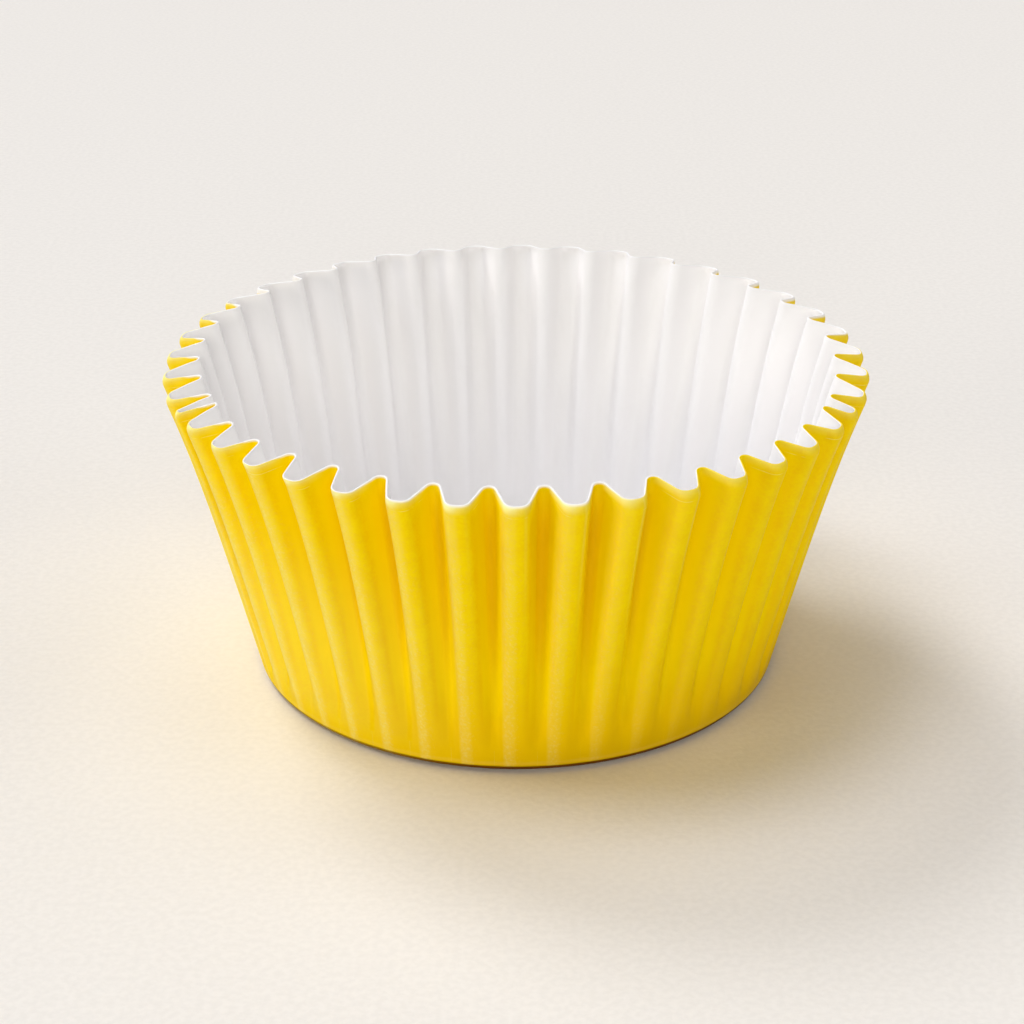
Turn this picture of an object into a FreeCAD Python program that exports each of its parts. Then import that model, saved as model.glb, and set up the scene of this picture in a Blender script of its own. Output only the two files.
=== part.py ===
"""Paper candy cup: one sheet of thin paper, pressed between fluted dies.

A round blank is pressed into a flat foot, a small bend and a flaring wall.  The wall has more and
more paper to spare towards the rim, so it is gathered into pleats.  Each pleat is a broad fold on
the outside with a flank down each side of it, and the flanks meet in tight creases on the inside.
The pleats start from nothing at the bend and grow all the way up.  They are gathered a little
unevenly: their spacing drifts around the cup, one pleat is slim and one is pinched tight.  Every
bend of the paper is a few narrow flats side by side, and the paper is flat between the bends.

Millimetres, +Z up.  The origin is the middle of the foot's underside, where the cup stands.
"""
import FreeCAD, Part
import math
import os

from FreeCAD import Vector

# ---- driving dimensions ---------------------------------------------------------------------

paper_thickness = 0.12

foot_diameter = 31.8        # where the outside of the wall would meet the floor, were it not bent
foot_bend_radius = 0.6      # outside radius of the bend between foot and wall

shoulder_height = 5.0       # the three levels that the wall's outline runs through, over the folds
shoulder_diameter = 34.2
waist_height = 12.0
waist_diameter = 37.7
rim_height = 18.9
rim_diameter = 41.8

shoulder_pleat_depth = 0.95  # from the outside of a fold to the outside of a crease
waist_pleat_depth = 1.52
rim_pleat_depth = 2.15

tight_pleat_share = 0.42    # width of the pinched pleat, against a full one
slim_pleat_share = 0.6
full_pleat_count = 39
before_slim_count = 15      # full pleats between the pinched one and the slim one, going round
tight_pleat_azimuth = 199.4   # degrees from +X towards +Y, to its first crease, if the spacing were even
spacing_waves = ((1, 2.2, 150), (2, 1.25, 63))  # waves a turn, degrees either way, azimuth of a crest
spacing_shifts = ((240, -1.1), (308, 1.4))      # azimuth of the middle of each place, degrees on
half_shift_angle = 20       # degrees from that middle to where a shift is half as large

fold_radius = 0.46          # radii at the rim, of the middle of the paper's thickness
tight_fold_radius = 0.22
crease_radius = 0.36
fold_land = 0.3             # width of the flat between the two bends of a fold, at the rim
tight_fold_land = 0.06

fold_flat_count = 3         # narrow flats in each bend
crease_flat_count = 1
foot_flat_count = 2

# ---- what follows from them -----------------------------------------------------------------

pitch = 2 * math.pi / (tight_pleat_share + slim_pleat_share + full_pleat_count)
outer_face = -paper_thickness / 2     # the paper's two faces, as offsets inwards from its middle
inner_face = paper_thickness / 2


def direction(angle):
    return Vector(math.cos(angle), math.sin(angle), 0)


def bend_corners(centre, radius, first, last, flats):
    """Corners of a bend made of flats that touch a circle, between two outward normals."""
    step = (last - first) / (flats + 1)
    reach = radius / math.cos(step / 2)
    return [centre + direction(first + step * (i + 0.5)) * reach for i in range(flats + 1)]


def middle_radii(diameter):
    """Radius of the paper's middle at the flats of the folds, and at the corners between them."""
    middle = diameter / 2 - paper_thickness / 2
    return middle, middle / math.cos(pitch / 2)


class HalfPleat:
    """The sheet's section at the rim, in plan, from a crease on +X to the fold on its +Y side.

    The places are taken from the corner where the flats of two folds would meet over the crease.
    """

    def __init__(self, half_angle, bend_radius, land):
        self.normal_angle = half_angle
        self.bend_radius = bend_radius
        middle, corner = middle_radii(rim_diameter)
        reach = corner * math.cos(half_angle) - bend_radius
        self.fold_centre = (direction(half_angle) * reach - Vector(corner, 0, 0)
                            - direction(half_angle + math.pi / 2) * (land / 2))
        depth = rim_pleat_depth + corner - middle
        self.crease_centre = Vector(crease_radius - depth, 0, 0)
        across = self.fold_centre - self.crease_centre
        self.flank_angle = (math.atan2(across.x, across.y)
                            + math.asin((bend_radius + crease_radius) / across.Length))

    def corners(self, scale, offset):
        """Corners from the crease to the fold, this far inwards of the paper's middle."""
        crease = bend_corners(self.crease_centre * scale, -crease_radius * scale - offset,
                              0, -self.flank_angle, crease_flat_count)
        fold = bend_corners(self.fold_centre * scale, self.bend_radius * scale - offset,
                            -self.flank_angle, self.normal_angle, fold_flat_count)
        return crease + fold


class Level:
    """One height of the wall, with the flats of the folds at this diameter.

    Every level has the section of the rim at a smaller scale, so the paper between two levels is
    flat.  The edge of each level slopes up towards the creases as the cut edge does.
    """

    def __init__(self, diameter, height, pleat_depth):
        self.radius = diameter / 2
        self.corner = middle_radii(diameter)[1]
        self.height = height
        self.scale = pleat_depth / rim_pleat_depth

    def half_chain(self, half, offset):
        points = [Vector(self.corner, 0, 0) + p for p in half.corners(self.scale, offset)]
        return [Vector(p.x, p.y, self.height + edge_slope * (self.radius - p.x)) for p in points]


def foot_profile(offset):
    """Radius and height of the foot bend's corners, from the wall down to the foot."""
    lean = math.atan2(shoulder_diameter - foot_diameter, 2 * shoulder_height)
    tangent = foot_bend_radius * math.tan((math.pi / 2 - lean) / 2)
    centre = Vector(foot_diameter / 2 - tangent, foot_bend_radius, 0)
    bend_radius = foot_bend_radius - paper_thickness / 2 - offset
    return bend_corners(centre, bend_radius, -lean, -math.pi / 2, foot_flat_count)


# The paper is as long down a crease as down a fold, and a crease leans less, so it ends higher.
foot_top = foot_profile(outer_face)[0]
wall_rise = rim_height - foot_top.y
fold_length = math.hypot(rim_diameter / 2 - foot_top.x, wall_rise)
crease_run = rim_diameter / 2 - rim_pleat_depth - foot_top.x
edge_slope = (math.sqrt(fold_length ** 2 - crease_run ** 2) - wall_rise) / rim_pleat_depth

levels = [Level(shoulder_diameter, shoulder_height, shoulder_pleat_depth),
          Level(waist_diameter, waist_height, waist_pleat_depth),
          Level(rim_diameter, rim_height, rim_pleat_depth)]


def spacing_drift(azimuth):
    """How far on a crease stands from its even place, in degrees."""
    waves = sum(size * math.cos(math.radians(turns * (azimuth - crest)))
                for turns, size, crest in spacing_waves)
    power = math.log(0.5) / math.log(math.cos(math.radians(half_shift_angle)))
    shifts = sum(size * max(0, math.cos(math.radians(azimuth - place))) ** power
                 for place, size in spacing_shifts)
    return waves + shifts


def crease_azimuths():
    """Azimuth of the crease that starts each pleat, from the pinched one, and once round again."""
    shares = [1] * full_pleat_count
    shares.insert(before_slim_count, slim_pleat_share)
    shares.insert(0, tight_pleat_share)
    even = [tight_pleat_azimuth + math.degrees(pitch) * sum(shares[:i])
            for i in range(len(shares) + 1)]
    return [math.radians(a + spacing_drift(a)) for a in even]


def pleat_row():
    """Each pleat as its half section and the azimuth of the crease before it."""
    azimuths = crease_azimuths()
    row = []
    for i, (start, end) in enumerate(zip(azimuths, azimuths[1:])):
        bend_radius, land = (fold_radius, fold_land) if i else (tight_fold_radius, tight_fold_land)
        row.append((HalfPleat((end - start) / 2, bend_radius, land), start))
    return row


def turned(point, azimuth):
    across = direction(azimuth) * point.x + direction(azimuth + math.pi / 2) * point.y
    return Vector(across.x, across.y, point.z)


def crease_chain(level, before, after, azimuth, offset):
    """Corners of the section across one crease, from the fold before it to the fold after it."""
    first = [Vector(p.x, -p.y, p.z) for p in reversed(level.half_chain(before, offset))]
    return [turned(p, azimuth) for p in first + level.half_chain(after, offset)]


def flat(*corners):
    return Part.Face(Part.makePolygon(list(corners) + [corners[0]]))


def skin(row, offset):
    """One face of the paper: the flats of the wall, of the foot's bend and of the foot.

    It is returned with the chain of corners along its cut edge at each crease.
    """
    faces, cut_edges, foot = [], [], []
    profile = foot_profile(offset)
    for i, (half, azimuth) in enumerate(row):
        before = row[i - 1][0]
        chains = [crease_chain(level, before, half, azimuth, offset) for level in levels]
        rings = [turned(Vector(p.x / math.cos(pitch / 2), 0, p.y), azimuth) for p in profile]
        foot.append((rings, chains))
        for a, b in zip(chains[0], chains[0][1:]):
            faces.append(flat(rings[0], a, b))
        for low, high in zip(chains, chains[1:]):
            for j in range(len(low) - 1):
                faces.append(flat(low[j], low[j + 1], high[j + 1], high[j]))
        cut_edges.append(chains[-1])
    for (rings, chains), (next_rings, next_chains) in zip(foot, foot[1:] + foot[:1]):
        faces.append(flat(rings[0], chains[0][-1], next_chains[0][0], next_rings[0]))
        for low, high, next_low, next_high in zip(chains, chains[1:], next_chains, next_chains[1:]):
            faces.append(flat(low[-1], high[-1], next_high[0], next_low[0]))
        for j in range(len(rings) - 1):
            faces.append(flat(rings[j], rings[j + 1], next_rings[j + 1], next_rings[j]))
    faces.append(flat(*[rings[-1] for rings, _ in foot]))
    return faces, cut_edges


def paper_cup():
    row = pleat_row()
    faces, outer_edges = skin(row, outer_face)
    inner_faces, inner_edges = skin(row, inner_face)
    faces += inner_faces
    following = list(zip(outer_edges, inner_edges))
    for (outer, inner), (next_outer, next_inner) in zip(following, following[1:] + following[:1]):
        faces.append(flat(*outer, *reversed(inner)))
        faces.append(flat(outer[-1], inner[-1], next_inner[0], next_outer[0]))
    shell = Part.Compound(faces)
    shell.sewShape()
    return Part.Solid(shell.Shells[0])


os.makedirs("parts", exist_ok=True)
paper_cup().exportStep("parts/pleated_cup.step")
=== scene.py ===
"""Paper candy cup, dressed: the pressed sheet with its print, its rolled rim and its grain."""
import math

import bpy
import numpy as np
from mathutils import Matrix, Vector


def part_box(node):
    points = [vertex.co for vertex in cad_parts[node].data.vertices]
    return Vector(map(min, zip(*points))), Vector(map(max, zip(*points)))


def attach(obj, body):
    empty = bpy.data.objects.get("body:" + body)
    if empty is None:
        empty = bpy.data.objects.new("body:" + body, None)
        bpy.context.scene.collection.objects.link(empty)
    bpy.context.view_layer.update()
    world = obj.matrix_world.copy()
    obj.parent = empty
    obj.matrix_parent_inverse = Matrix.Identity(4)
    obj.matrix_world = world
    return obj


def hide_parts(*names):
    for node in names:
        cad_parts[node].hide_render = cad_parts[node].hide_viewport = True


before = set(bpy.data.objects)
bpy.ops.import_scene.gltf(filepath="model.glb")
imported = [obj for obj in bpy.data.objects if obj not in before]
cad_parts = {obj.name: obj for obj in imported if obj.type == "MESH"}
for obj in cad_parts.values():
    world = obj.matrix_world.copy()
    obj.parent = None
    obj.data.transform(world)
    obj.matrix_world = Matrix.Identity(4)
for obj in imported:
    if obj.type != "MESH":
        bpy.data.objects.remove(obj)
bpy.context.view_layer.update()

# ---- the pressed sheet -------------------------------------------------------------------------
# One round blank of thin paper, printed yellow on one side and left white on the other.  Fluted
# dies press it into a flat foot, a small bend and a wall gathered into pleats; the same stroke
# rolls the cut edge a little inwards over each fold.  All sizes are millimetres.

MILLIMETRE = 0.001
low, high = (np.array(corner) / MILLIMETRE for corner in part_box("pleated_cup"))

paper_thickness = 0.12
rim_radius = (high[1] - low[1]) / 2 - 0.05  # over the folds, where the rim starts to roll in
rim_height = high[2] - 0.54               # of the folds; the creases end higher
crease_climb = 0.19                       # the sheet rises this much for each length it lies deeper
rim_pleat_depth = 2.2
depth_power = 0.75                        # the pleats' depth grows as this power of the height
# The creases were pressed unevenly: azimuth of the middle of each place, and the extra depth there.
crease_changes = ((203, 0.25), (219, -0.32), (256, -0.15), (302, -0.3), (322, -0.3), (338, -0.25),
                  (15, -0.25), (72, -0.2), (96, -0.2), (120, -0.2), (160, -0.3))
crease_change_reach = 12                  # degrees from that middle to where half of it is left
foot_radius = 15.92                       # where the wall's line meets the floor
foot_bend_radius = 0.6
wall_lean = 0.245                         # outwards for each length upwards, at the foot
flare_power = 4.5                         # the wall flares faster and faster towards the rim

smooth_height = 0.5                       # the wall has no pleats below this
pleat_fade_height = 2.2                   # and they grow to their full depth in this much more
bend_shares = (0.95, 0.66)                # bend radii at foot and rim, against the largest that fit
fold_parts = (0.62, 0.56)                 # the fold's part of those radii; the rest is the crease's
tight_bend_part = 0.4                     # the pinched pleat's bends, against the others
land_share = 0.15                         # flat strip between the two bends of a fold

roll_width = 0.5                          # the rolled strip below the cut edge
roll_lean = 0.25                          # how far the cut edge leans in over a fold
lean_changes = ((232, -0.3), (278, 0.22))  # azimuth of the middle of each place, and the extra lean
lean_change_reach = 15

tight_pleat_share = 0.42                  # width of the pinched pleat, against a full one
slim_pleat_share = 0.6
full_pleat_count = 39
before_slim_count = 15                    # full pleats between the pinched one and the slim one
tight_pleat_azimuth = 199.4               # of its first crease, if the spacing were even
spacing_waves = ((1, 2.2, 150), (2, 1.25, 63))   # waves a turn, degrees either way, crest azimuth
spacing_shifts = ((240, -1.1), (308, 1.4))       # azimuth of the middle of each place, degrees on
spacing_shift_reach = 20

# Half a pleat is made in steps from its crease, at 0, to the middle of its fold, at 1.
crease_end, flank_end, fold_end = 0.25, 0.55, 0.9  # steps where the two arcs and the flank end
crease_columns, flank_columns, fold_columns = 5, 3, 6
foot_rows, bend_rows, wall_rows, roll_rows, edge_rows = 3, 7, 17, 7, 5
roll_crowding = 1.3                       # power by which the roll's rows crowd to the cut edge
least_depth = 0.00001                     # a smooth wall's pleats, so that nothing is divided by 0
least_pleat = 0.001                       # and where their depth is set against the fullest


def nearness(azimuth, place, reach):
    """1 at a place on the way round, given in degrees, and a half as far from it as the reach: a
    power of the cosine between them, and 0 on the far side."""
    power = math.log(0.5) / math.log(math.cos(math.radians(reach)))
    return np.maximum(np.cos(azimuth - math.radians(place)), 0) ** power


def crease_azimuths():
    """Azimuth of the crease before each pleat, and once round again: even places for pleats of
    their shares of a turn, plus a cosine of the even place for each of the spacing waves, plus
    the shifts near their places."""
    shares = np.ones(full_pleat_count)
    shares = np.insert(shares, before_slim_count, slim_pleat_share)
    shares = np.insert(shares, 0, tight_pleat_share)
    even = tight_pleat_azimuth + 360 * np.insert(np.cumsum(shares), 0, 0) / shares.sum()
    drift = sum(size * np.cos(np.radians(waves * (even - crest)))
                for waves, size, crest in spacing_waves)
    shift = sum(size * nearness(np.radians(even), place, spacing_shift_reach)
                for place, size in spacing_shifts)
    return np.radians(even + drift + shift)


def section(step, half_width, depth, bend_share, fold_part):
    """Half a pleat, from its crease to the middle of its fold.

    The crease's arc, a straight flank, the fold's arc and half its land follow on, each tangent
    to the next.  The two radii together can be the sum of the squares of the width and the depth
    over twice the depth, with no flank left, and are the given share of that.  The flank's angle
    is that of the common inner tangent of the two arcs' circles.  Returned are the way along the
    wall and the depth below the fold.
    """
    land = land_share * half_width
    along = half_width - land / 2
    depth = np.maximum(depth, least_depth)
    radii = bend_share * (along ** 2 + depth ** 2) / (2 * depth)
    fold_radius = fold_part * radii
    crease_radius = radii - fold_radius
    inwards = depth - fold_radius - crease_radius
    reach = np.hypot(along, inwards)
    angle = np.arctan2(inwards, along) + np.arcsin((fold_radius + crease_radius) / reach)
    ends = (0, crease_end, flank_end, fold_end, 1)
    crease, flank, fold, flat = (np.clip((step - start) / (end - start), 0, 1)
                                 for start, end in zip(ends, ends[1:]))
    crease_turn = crease * angle
    fold_turn = (1 - fold) * angle
    flank_along = along - (fold_radius + crease_radius) * np.sin(angle)
    flank_depth = depth - (fold_radius + crease_radius) * (1 - np.cos(angle))
    x = (crease_radius * np.sin(crease_turn) + flank * flank_along
         + fold_radius * (np.sin(angle) - np.sin(fold_turn)) + flat * land / 2)
    y = (depth - crease_radius * (1 - np.cos(crease_turn)) - flank * flank_depth
         - fold_radius * (np.cos(fold_turn) - np.cos(angle)))
    return x, y


def wall_profile(height):
    """Outside radius over the folds: the leaning line plus a power of the height."""
    widest = rim_height - roll_width
    flare = rim_radius - foot_radius - wall_lean * widest
    return foot_radius + wall_lean * height + flare * (height / widest) ** flare_power


def middle_profile():
    """Radius and height of the paper's middle, from the foot's centre to the cut edge: a flat, an
    arc that touches the floor and the wall's line, and the wall, closer spaced up the roll."""
    half = paper_thickness / 2
    lean = math.atan(wall_lean)
    bend_centre = foot_radius + wall_lean * foot_bend_radius - foot_bend_radius / math.cos(lean)
    flat = np.linspace(0, bend_centre, foot_rows + 2)[1:-1]
    turn = np.linspace(-math.pi / 2, -lean, bend_rows)
    bend = (bend_centre + (foot_bend_radius - half) * np.cos(turn),
            foot_bend_radius + (foot_bend_radius - half) * np.sin(turn))
    start = bend[1][-1]
    wall = np.linspace(start, rim_height - roll_width, wall_rows + 1)[1:]
    roll = rim_height - roll_width * (1 - np.linspace(0, 1, roll_rows + 1)[1:]) ** roll_crowding
    wall = np.concatenate([wall, roll])
    radius = np.concatenate([flat, bend[0], wall_profile(wall) - half / math.cos(lean)])
    height = np.concatenate([np.full(len(flat), half), bend[1], wall])
    return radius, height


def middle_surface():
    """The middle of the paper as a grid: one row for each point of the profile, and one column
    for each step across the pleats.  Depth grows as a power of the height and fades out smoothly
    above the foot.  A place across a pleat becomes an azimuth; a depth shortens the radius and
    lifts.  Returned with it are the depth against the fullest, the side of the fold and the
    height."""
    radius, height = (a[:, None] for a in middle_profile())
    share = np.clip(height / rim_height, 0, 1)
    fade = np.clip((height - smooth_height) / pleat_fade_height, 0, 1)
    depth = rim_pleat_depth * share ** depth_power * fade * fade * (3 - 2 * fade)
    bend_share = bend_shares[0] + (bend_shares[1] - bend_shares[0]) * share
    fold_part = fold_parts[0] + (fold_parts[1] - fold_parts[0]) * share
    steps = np.concatenate([np.linspace(0, crease_end, crease_columns + 1)[:-1],
                            np.linspace(crease_end, flank_end, flank_columns + 1)[:-1],
                            np.linspace(flank_end, fold_end, fold_columns + 1), [1]])[None, :]
    azimuths = crease_azimuths()
    extra = sum(size * nearness(azimuths, place, crease_change_reach)
                for place, size in crease_changes)
    angles, depths, sides = [], [], []
    for i in range(len(azimuths) - 1):
        half_angle = (azimuths[i + 1] - azimuths[i]) / 2
        for crease, way in ((i, 1), (i + 1, -1)):
            deeper = depth * (1 + extra[crease] / rim_pleat_depth)
            bends = bend_share * (1 if i else tight_bend_part)
            x, y = section(steps, half_angle * radius, deeper, bends, fold_part)
            across = np.broadcast_to(way * (steps - 1), y.shape)
            pick = slice(0, -1) if way > 0 else slice(None, 0, -1)
            angles.append((azimuths[crease] + way * x / radius)[:, pick])
            depths.append(y[:, pick])
            sides.append(across[:, pick])
    angle, depth_in, side = (np.concatenate(a, axis=1) for a in (angles, depths, sides))
    depth_share = np.minimum(depth_in / np.maximum(depth, least_pleat), 1)
    place = np.stack([(radius - depth_in) * np.cos(angle), (radius - depth_in) * np.sin(angle),
                      height + crease_climb * depth_in], axis=-1)
    return place, depth_share, side, height


def surface_normals(place):
    """Outward normals of the grid: the cross product of its two central differences, the columns
    running on round the cup."""
    around = np.roll(place, -1, axis=1) - np.roll(place, 1, axis=1)
    up = np.gradient(place, axis=0)
    normal = np.cross(around, up)
    return normal / np.linalg.norm(normal, axis=-1, keepdims=True)


def closed_sheet():
    """The sheet with its thickness.

    Each point of the middle goes half the thickness out and half in along the normal, and the cut
    edge is half a round between the two faces.  The rolled strip leans in by the square of the
    way into it, over the folds and less and less towards the creases.  Returned with the points
    are four values at each: 1 on the printed face and 0 on the bare one, the height left to the
    cut edge, the depth from 0 on a fold to 1 in a crease, and the side of the fold's middle, from
    -1 at one crease to 1 at the next.
    """
    middle, depth_share, side, height = middle_surface()
    into_roll = np.clip((height - (rim_height - roll_width)) / roll_width, 0, 1)
    over_fold = np.clip(1 - depth_share, 0, 1)
    over_fold = over_fold * over_fold * (3 - 2 * over_fold)
    azimuth = np.arctan2(middle[..., 1], middle[..., 0])
    lean = roll_lean + sum(size * nearness(azimuth, place, lean_change_reach)
                           for place, size in lean_changes)
    outwards = np.stack([np.cos(azimuth), np.sin(azimuth), np.zeros_like(azimuth)], axis=-1)
    middle = middle - outwards * (lean * into_roll ** 2 * over_fold)[..., None]
    normal = surface_normals(middle)
    half = paper_thickness / 2
    up = middle[-1] - middle[-2]
    up -= normal[-1] * np.sum(up * normal[-1], axis=-1, keepdims=True)
    up /= np.linalg.norm(up, axis=-1, keepdims=True)
    turn = np.linspace(0, math.pi, edge_rows + 2)[1:-1, None, None]
    edge = middle[-1] + half * (np.cos(turn) * normal[-1] + np.sin(turn) * up)
    grid = np.concatenate([middle + half * normal, edge, (middle - half * normal)[::-1]])
    from_edge = np.broadcast_to(rim_height - height, depth_share.shape)
    rim_row = np.zeros((len(edge), middle.shape[1]))
    face_share = rim_row + 1 - turn[..., 0] / math.pi
    edge_share, edge_side = (np.broadcast_to(a[-1], rim_row.shape) for a in (depth_share, side))
    print_share = np.ones_like(depth_share), face_share, np.zeros_like(depth_share)
    return grid, {
        "printed": np.concatenate(print_share),
        "from_edge": np.concatenate([from_edge, rim_row, from_edge[::-1]]),
        "crease": np.concatenate([depth_share, edge_share, depth_share[::-1]]),
        "side": np.concatenate([side, edge_side, side[::-1]]),
    }


def grid_mesh(name, grid, values):
    """A mesh from a grid that runs round in its columns and ends in a pole at both ends, with a
    value of each attribute at every point.  Faces point outwards."""
    rows, columns = grid.shape[:2]
    index = np.arange(rows * columns).reshape(rows, columns)
    beside = np.roll(index, -1, axis=1)
    quads = np.stack([index[:-1], beside[:-1], beside[1:], index[1:]], axis=-1).reshape(-1, 4)
    poles = rows * columns + np.arange(2)
    first = np.stack([beside[0], index[0], np.full(columns, poles[0])], axis=-1)
    last = np.stack([index[-1], beside[-1], np.full(columns, poles[1])], axis=-1)
    pole_points = np.array([[0, 0, grid[0, 0, 2]], [0, 0, grid[-1, 0, 2]]])
    points = np.concatenate([grid.reshape(-1, 3), pole_points]) * MILLIMETRE
    mesh = bpy.data.meshes.new(name)
    mesh.from_pydata(points.tolist(), [], quads.tolist() + first.tolist() + last.tolist())
    for title, value in values.items():
        layer = mesh.attributes.new(title, "FLOAT", "POINT")
        pole_values = [value[0, 0], value[-1, 0]]
        layer.data.foreach_set("value", np.append(value.ravel(), pole_values).astype(np.float32))
    mesh.polygons.foreach_set("use_smooth", np.ones(len(mesh.polygons), bool))
    mesh.update()
    return mesh


grid, values = closed_sheet()
sheet = bpy.data.objects.new("paper_sheet", grid_mesh("paper_sheet", grid, values))
bpy.context.collection.objects.link(sheet)
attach(sheet, "root")
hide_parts("pleated_cup")


class Socket:
    """A node's output that can be used in plain arithmetic; each operation adds its Math node."""

    def __init__(self, tree, output):
        self.tree = tree
        self.output = output

    def node(self, kind, settings=None, out=0, **inputs):
        """Any other node: its settings first, then a value or a link for each socket, given by its
        name with _ for a space, or as i and its number."""
        made = self.tree.nodes.new(kind)
        for key, value in (settings or {}).items():
            setattr(made, key, value)
        for key, value in inputs.items():
            numbered = key[0] == "i" and key[1:].isdigit()
            socket = made.inputs[int(key[1:]) if numbered else key.replace("_", " ")]
            if isinstance(value, Socket):
                self.tree.links.new(value.output, socket)
            else:
                socket.default_value = value
        return Socket(self.tree, made.outputs[out])

    def maths(self, operation, a, b):
        return self.node("ShaderNodeMath", {"operation": operation}, i0=a, i1=b)

    def __add__(self, other):
        return self.maths("ADD", self, other)

    def __sub__(self, other):
        return self.maths("SUBTRACT", self, other)

    def __rsub__(self, other):
        return self.maths("SUBTRACT", other, self)

    def __mul__(self, other):
        return self.maths("MULTIPLY", self, other)

    __radd__ = __add__
    __rmul__ = __mul__

    def step(self, start, end):
        """Smoothly from 0 at the start to 1 at the end."""
        return self.node("ShaderNodeMapRange", {"interpolation_type": "SMOOTHSTEP"},
                         Value=self, From_Min=start, From_Max=end)

    def band(self, rise, fall):
        """Smoothly up between the first two values and down again between the other two."""
        return self.step(*rise) * (1 - self.step(*fall))

    def mixed(self, first, second):
        """The first colour where this is 0, the second where it is 1."""
        return self.node("ShaderNodeMix", {"data_type": "RGBA"}, out=2,
                         i0=self, i6=first, i7=second)


def colour(red, green, blue):
    """Screen colour, 0 to 255, as the linear values that a shader takes."""
    share = np.array([red, green, blue]) / 255
    linear = np.where(share <= 0.04045, share / 12.92, ((share + 0.055) / 1.055) ** 2.4)
    return (*(float(c) for c in linear), 1.0)


def new_material(name):
    """A new material, its Principled shader and the socket that its maths starts from."""
    material = bpy.data.materials.new(name)
    material.use_nodes = True
    tree = material.node_tree
    shader = tree.nodes["Principled BSDF"]
    place = tree.nodes.new("ShaderNodeTexCoord")
    return material, shader, Socket(tree, place.outputs["Object"])


print_yellow = colour(253, 221, 0)
print_deep = colour(250, 212, 0)
# painted shade towards the foot
foot_shade_yellow = colour(249, 205, 0)
# painted light down the flanks
flank_light_yellow = colour(255, 226, 0)
bare_white = colour(255, 253, 252)
# pale yellow of the painted highlights
highlight_pale_yellow = colour(255, 246, 160)
# painted shade along the creases
crease_shade_yellow = colour(236, 184, 0)
foot_shade_brown = colour(112, 66, 0)              # painted contact shade where the foot's bend rests on the floor, also used for painted shade on the wall above

material, shader, place = new_material("printed_paper")


def attribute(title):
    """One of the values that the sheet has at each of its points."""
    return place.node("ShaderNodeAttribute", {"attribute_name": title}, out=2)


printed = attribute("printed")
from_edge = attribute("from_edge")
crease = attribute("crease")
side = attribute("side")
towards_x = place.node("ShaderNodeSeparateXYZ", Vector=place) * (1 / MILLIMETRE)
towards_y = place.node("ShaderNodeSeparateXYZ", out=1, Vector=place) * (1 / MILLIMETRE)
# The paper's fibres are some 0.2 mm across and its mottle is some 1 mm.
fibres = place.node("ShaderNodeTexNoise", Vector=place, Scale=5500.0, Detail=3.0, Roughness=0.6)
mottle = place.node("ShaderNodeTexNoise", Vector=place, Scale=900.0, Detail=2.0, Roughness=0.5)

left_side = 1 - towards_x.step(-6.0, 14.0)
far_left = 1 - towards_x.step(-18.0, 0.0)
over_fold = 1 - crease.step(0.3, 0.8)

# The ink is uneven in soft blotches. Painted shade deepens it towards the foot, except on the lit
# left, and deepest along the middle of each crease; painted light makes it lighter down the flanks.
blotches = (fibres * 0.6 + mottle * 0.4).step(0.35, 0.65)
foot_shade = from_edge.step(9.0, 18.0) * (0.9 - far_left * 0.9)
flank_light = crease.step(0.2, 0.5) * (1 - from_edge.step(12.0, 17.0))
crease_shade = crease.step(0.75, 1.0) * from_edge.band((-1.0, 3.5), (7.0, 16.0)) * 0.8
print_and_painted_light = blotches.mixed(print_yellow, print_deep)
print_and_painted_light = foot_shade.mixed(print_and_painted_light, foot_shade_yellow)
print_and_painted_light = flank_light.mixed(print_and_painted_light, flank_light_yellow)
print_and_painted_light = crease_shade.mixed(print_and_painted_light, crease_shade_yellow)

# Painted highlights pale the print: on the roll at the rim, mostly on the left of each fold and of
# the cup, along the fine line pressed in below the roll, on the edge of each fold's flat, in
# fleck-like glints and a band of sheen down the left bend of each fold, and a little all over the
# far left. There is no painted highlight deep in the creases.
left_of_fold = side.band((-1.0, -0.7), (-0.4, 0.3))
wide_roll_highlight = (1 - from_edge.step(0.05, 0.5)) * (left_of_fold * 0.8 + over_fold * 0.2)
narrow_roll_highlight = (1 - from_edge.step(0.0, 0.2)) * over_fold
press_line_highlight = from_edge.band((0.48, 0.51), (0.53, 0.56)) * over_fold * mottle.step(0.45, 0.6)
flat_edge_highlight = side.band((0.2, 0.27), (0.27, 0.34)) * (1 - from_edge.step(1.0, 9.0))
sheen_side = side - far_left * 0.4
glints = (fibres.step(0.54, 0.64) * sheen_side.band((-0.6, -0.35), (-0.1, 0.4))
          * from_edge.step(1.0, 6.0))
left_bend_sheen = sheen_side.band((-0.65, -0.42), (-0.35, 0.1)) * (fibres.step(0.3, 0.7) * 0.6 + 0.4)
far_left_light = far_left * from_edge.band((3.0, 12.0), (16.5, 18.3))
painted_highlight = wide_roll_highlight * (left_side * 0.85 + 0.15) + narrow_roll_highlight * (left_side * 0.2 + 0.1)
painted_highlight = painted_highlight + press_line_highlight * 0.3 + flat_edge_highlight * (1 - left_side) * 0.2
painted_highlight = painted_highlight + glints * (left_side * 0.08 + 0.01)
painted_highlight = painted_highlight + left_bend_sheen * (left_side * 0.23 + far_left * 0.15 + 0.01) + far_left_light * 0.13
# the painted highlights pale the print
print_and_painted_light = (painted_highlight * (1 - crease.step(0.85, 0.95))).mixed(print_and_painted_light, highlight_pale_yellow)

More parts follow.
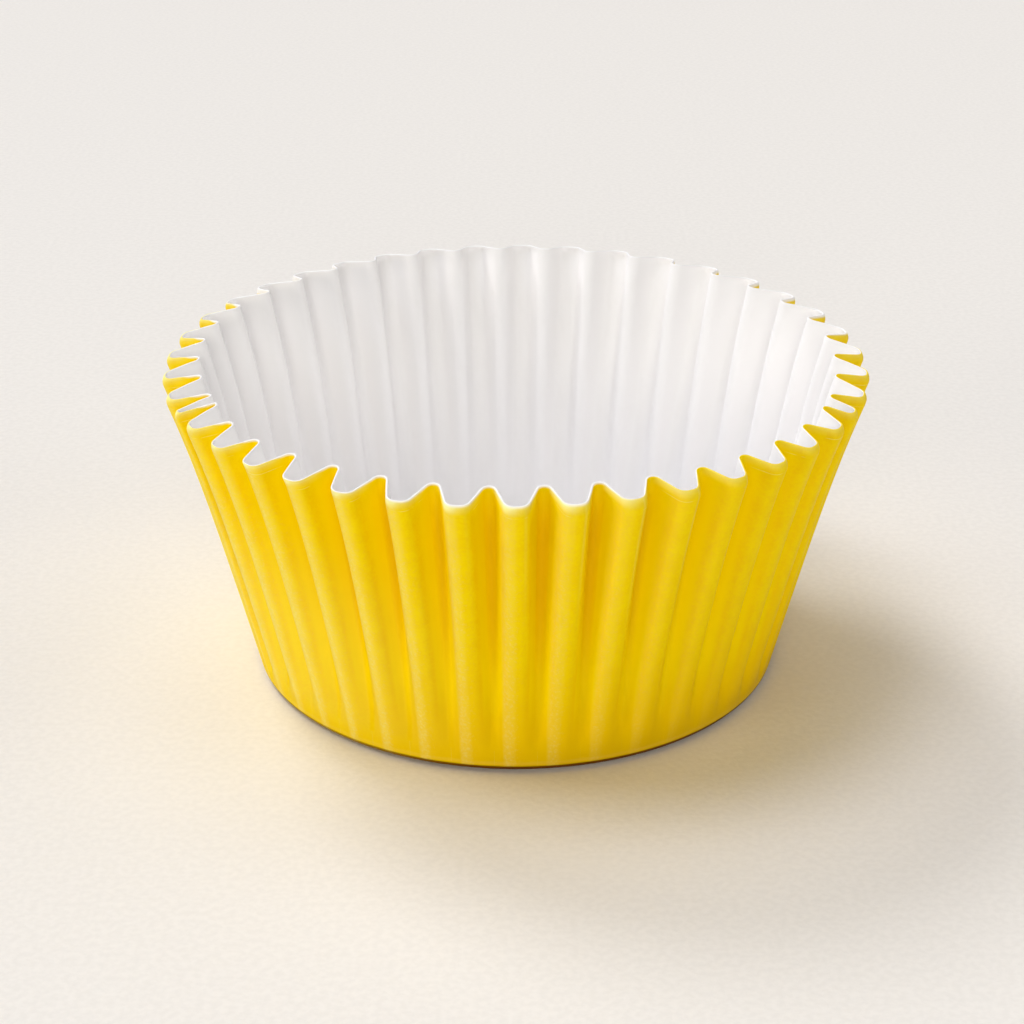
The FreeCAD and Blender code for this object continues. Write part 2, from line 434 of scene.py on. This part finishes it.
# A faint painted highlight line and then a dark line of painted contact shade run round the foot's
# bend, and the wall just above them has a little painted shade on the right.
foot_highlight_line = from_edge.band((18.0, 18.15), (18.2, 18.35)) * 0.06
foot_wall_shade = from_edge.step(16.0, 18.5) * towards_x.step(-8.0, 6.0) * 0.17
foot_contact_shade = from_edge.step(18.32, 18.44) * (1 - far_left * 0.5)
print_and_painted_light = foot_highlight_line.mixed(print_and_painted_light, highlight_pale_yellow)
print_and_painted_light = foot_wall_shade.mixed(print_and_painted_light, foot_shade_brown)
print_and_painted_light = foot_contact_shade.mixed(print_and_painted_light, foot_shade_brown)

# The print doesn't end evenly: it runs over the cut edge at the right front and on the folds of
# the left, and stops a little short of it behind.
inked_right = towards_x.step(4.0, 11.0) * (1 - towards_y.step(-4.0, 8.0))
inked_left = (1 - towards_x.step(-17.0, -4.0)) * over_fold * 0.8
inked_edge = inked_right + inked_left
bare_edge = towards_y.step(8.0, 14.0) * (1 - towards_x.step(-10.0, 0.0)) * 0.5
bare_edge = bare_edge + towards_y.step(0.0, 12.0) * 0.12
print_side = (printed + inked_edge * 0.45).step(0.75, 1.0)
print_end = (from_edge + inked_edge * 0.25 - bare_edge).step(-0.05, 0.12)
face = (print_side * print_end).mixed(bare_white, print_and_painted_light)
place.tree.links.new(face.output, shader.inputs["Base Color"])
shader.inputs["Roughness"].default_value = 0.45
shader.inputs["Specular IOR Level"].default_value = 0.03
grain = place.node("ShaderNodeBump", Strength=0.5, Distance=0.03 * MILLIMETRE,
                   Height=fibres * (printed * 0.85 + 0.15))
place.tree.links.new(grain.output, shader.inputs["Normal"])
sheet.data.materials.append(material)

# ---- the floor ---------------------------------------------------------------------------------
# A plain pale sheet of board under the cup, with a faint grain.

floor_half_side = 1200 * MILLIMETRE
corners = [(-floor_half_side, -floor_half_side, 0), (floor_half_side, -floor_half_side, 0),
           (floor_half_side, floor_half_side, 0), (-floor_half_side, floor_half_side, 0)]
floor_mesh = bpy.data.meshes.new("floor")
floor_mesh.from_pydata(corners, [], [(0, 1, 2, 3)])
floor = bpy.data.objects.new("floor", floor_mesh)
bpy.context.collection.objects.link(floor)

material, shader, place = new_material("pale_board")
board_grain = place.node("ShaderNodeTexNoise", Vector=place, Scale=2500.0, Detail=4.0)
board = board_grain.step(0.3, 0.7).mixed(colour(236, 231, 223), colour(241, 236, 228))
place.tree.links.new(board.output, shader.inputs["Base Color"])
shader.inputs["Roughness"].default_value = 0.7
shader.inputs["Specular IOR Level"].default_value = 0.2
board_bump = place.node("ShaderNodeBump", Strength=0.4, Distance=0.05 * MILLIMETRE,
                         Height=board_grain)
place.tree.links.new(board_bump.output, shader.inputs["Normal"])
floor.data.materials.append(material)

# ---- light -------------------------------------------------------------------------------------
# Big soft lamps far away: high ones on the left and behind the cup, lower ones round its front
# from left to right, a weak warm one behind it on the right, and hardly any light besides.


def soft_lamp(name, azimuth, elevation, breadth, red, green, blue):
    """A far lamp in this direction from the cup, as broad as this angle in the sky; degrees."""
    data = bpy.data.lights.new(name, "SUN")
    data.angle = math.radians(breadth)
    data.energy = 1.0
    data.color = (red, green, blue)
    lamp = bpy.data.objects.new(name, data)
    lamp.rotation_euler = (0, math.radians(90 - elevation), math.radians(azimuth))
    bpy.context.collection.objects.link(lamp)


soft_lamp("key", 129, 45, 20, 1.15, 1.16, 1.2)
soft_lamp("top", 180, 70, 24, 0.87, 0.9, 1.01)
soft_lamp("side", 170, 45, 24, 0.3, 0.31, 0.32)
soft_lamp("high", 90, 70, 30, 0.38, 0.4, 0.46)
soft_lamp("left", 215, 10, 24, 0.72, 0.69, 0.61)
soft_lamp("front", 270, 25, 30, 0.92, 0.91, 0.84)
soft_lamp("right", 345, 20, 30, 0.48, 0.48, 0.46)
soft_lamp("back", 30, 45, 30, 0.3, 0.27, 0.23)

world = bpy.data.worlds.new("surround")
world.use_nodes = True
world.node_tree.nodes["Background"].inputs["Color"].default_value = (1.0, 0.85, 0.76, 1)
world.node_tree.nodes["Background"].inputs["Strength"].default_value = 0.03
bpy.context.scene.world = world

# ---- camera ------------------------------------------------------------------------------------
# A long lens in front of the cup and above it, tilted down until the cup fills the frame.

rim_middle = Vector((0, 0, rim_height * MILLIMETRE))
view_distance = 143.1859 * MILLIMETRE
view_elevation = math.radians(21.77)
look_down = math.radians(25.39)
look_left = math.radians(0.102)

camera_data = bpy.data.cameras.new("camera")
camera_data.sensor_width = 36
camera_data.lens = 84.4
camera_data.clip_start = 0.005
camera = bpy.data.objects.new("camera", camera_data)
camera.location = rim_middle + view_distance * Vector((0, -math.cos(view_elevation),
                                                       math.sin(view_elevation)))
camera.rotation_euler = (math.pi / 2 - look_down, 0, look_left)
bpy.context.collection.objects.link(camera)
bpy.context.scene.camera = camera
bpy.context.scene.view_settings.view_transform = "Standard"
